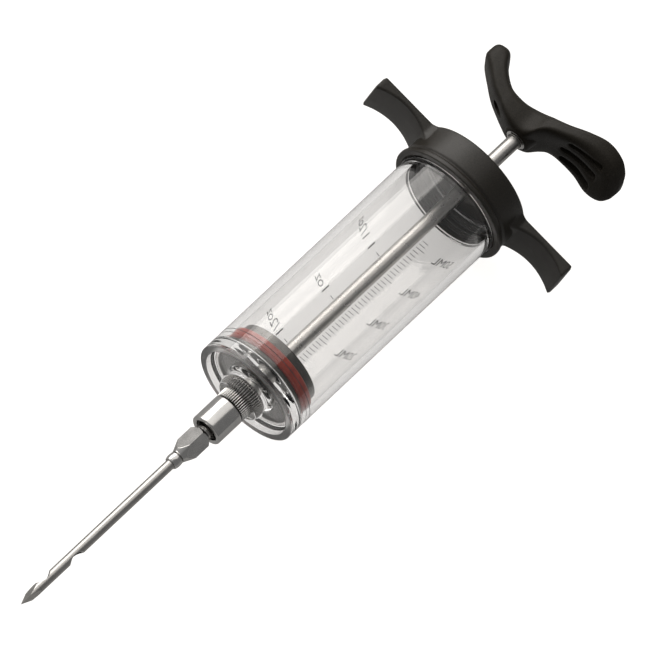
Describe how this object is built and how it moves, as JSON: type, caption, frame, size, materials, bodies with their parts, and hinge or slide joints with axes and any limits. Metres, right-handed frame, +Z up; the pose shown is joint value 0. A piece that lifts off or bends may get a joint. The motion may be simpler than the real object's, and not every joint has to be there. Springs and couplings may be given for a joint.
{
  "type": "marinade injector",
  "caption": "Marinade syringe: clear graduated barrel, winged screw cap, ring-sealed plunger with a curved thumb handle, and a screw-on closed-point needle.",
  "frame": {"origin": "centre of the bounding box in X and Y, on the surface the injector lies on", "axes": "+X from the needle's point to the handle along the barrel's axis, +Y along the cap's left wing, +Z up; the barrel's axis is 20 mm above the origin"},
  "size_m": [0.2284, 0.0766, 0.04],
  "materials": {
    "clear_plastic": "clear, polished",
    "satin_steel": "fine brushed",
    "polished_steel": "polished",
    "dark_steel": "fine turned",
    "black_plastic": "fine matte grain",
    "red_silicone": "satin",
    "pale_silicone": "satin",
    "black_rubber": "satin",
    "brass": "turned"
  },
  "bodies": {
    "barrel_body": {"barrel": "clear_plastic", "knurled_insert": "satin_steel", "nozzle_stem": "satin_steel", "lock_collar": "polished_steel"},
    "cap_gasket_body": {"cap_gasket": "black_rubber"},
    "cap_body": {"screw_cap": "black_plastic", "rod_guide": "black_plastic"},
    "seal_body": {"seal_ring": "red_silicone"},
    "plunger_body": {"piston_front_disc": "dark_steel", "piston_core": "dark_steel", "piston_rear_disc": "dark_steel", "piston_screw": "satin_steel", "plunger_rod": "satin_steel", "thumb_handle": "black_plastic", "handle_ferrule": "polished_steel", "handle_insert": "brass"},
    "needle_gasket_body": {"needle_gasket": "pale_silicone"},
    "needle_body": {"needle_hub": "polished_steel", "needle_ferrule": "polished_steel", "needle_tube": "satin_steel", "needle_point": "satin_steel"}
  },
  "joints": [
    {"name": "plunger_slide", "type": "slide", "parent": "barrel_body", "child": "seal_body", "axis": [1, 0, 0], "range_m": [0, 0.072]},
    {"name": "plunger_turn", "type": "hinge", "parent": "seal_body", "child": "plunger_body", "pos_m": [0, 0, 0.02], "axis": [1, 0, 0], "continuous": true},
    {"name": "cap_lift", "type": "slide", "parent": "barrel_body", "child": "cap_gasket_body", "axis": [1, 0, 0], "range_m": [0, 0.009]},
    {"name": "cap_turn", "type": "hinge", "parent": "cap_gasket_body", "child": "cap_body", "pos_m": [0, 0, 0.02], "axis": [1, 0, 0], "range_deg": [0, 1080]},
    {"name": "needle_draw", "type": "slide", "parent": "barrel_body", "child": "needle_gasket_body", "axis": [-1, 0, 0], "range_m": [0, 0.01]},
    {"name": "needle_twist", "type": "hinge", "parent": "needle_gasket_body", "child": "needle_body", "pos_m": [0, 0, 0.02], "axis": [-1, 0, 0], "range_deg": [0, 720]}
  ],
  "couplings": [
    {"joint": "cap_lift", "follows": "cap_turn", "m_per_rad": 0.00047746},
    {"joint": "needle_twist", "follows": "needle_draw", "rad_per_m": 1256.6}
  ]
}
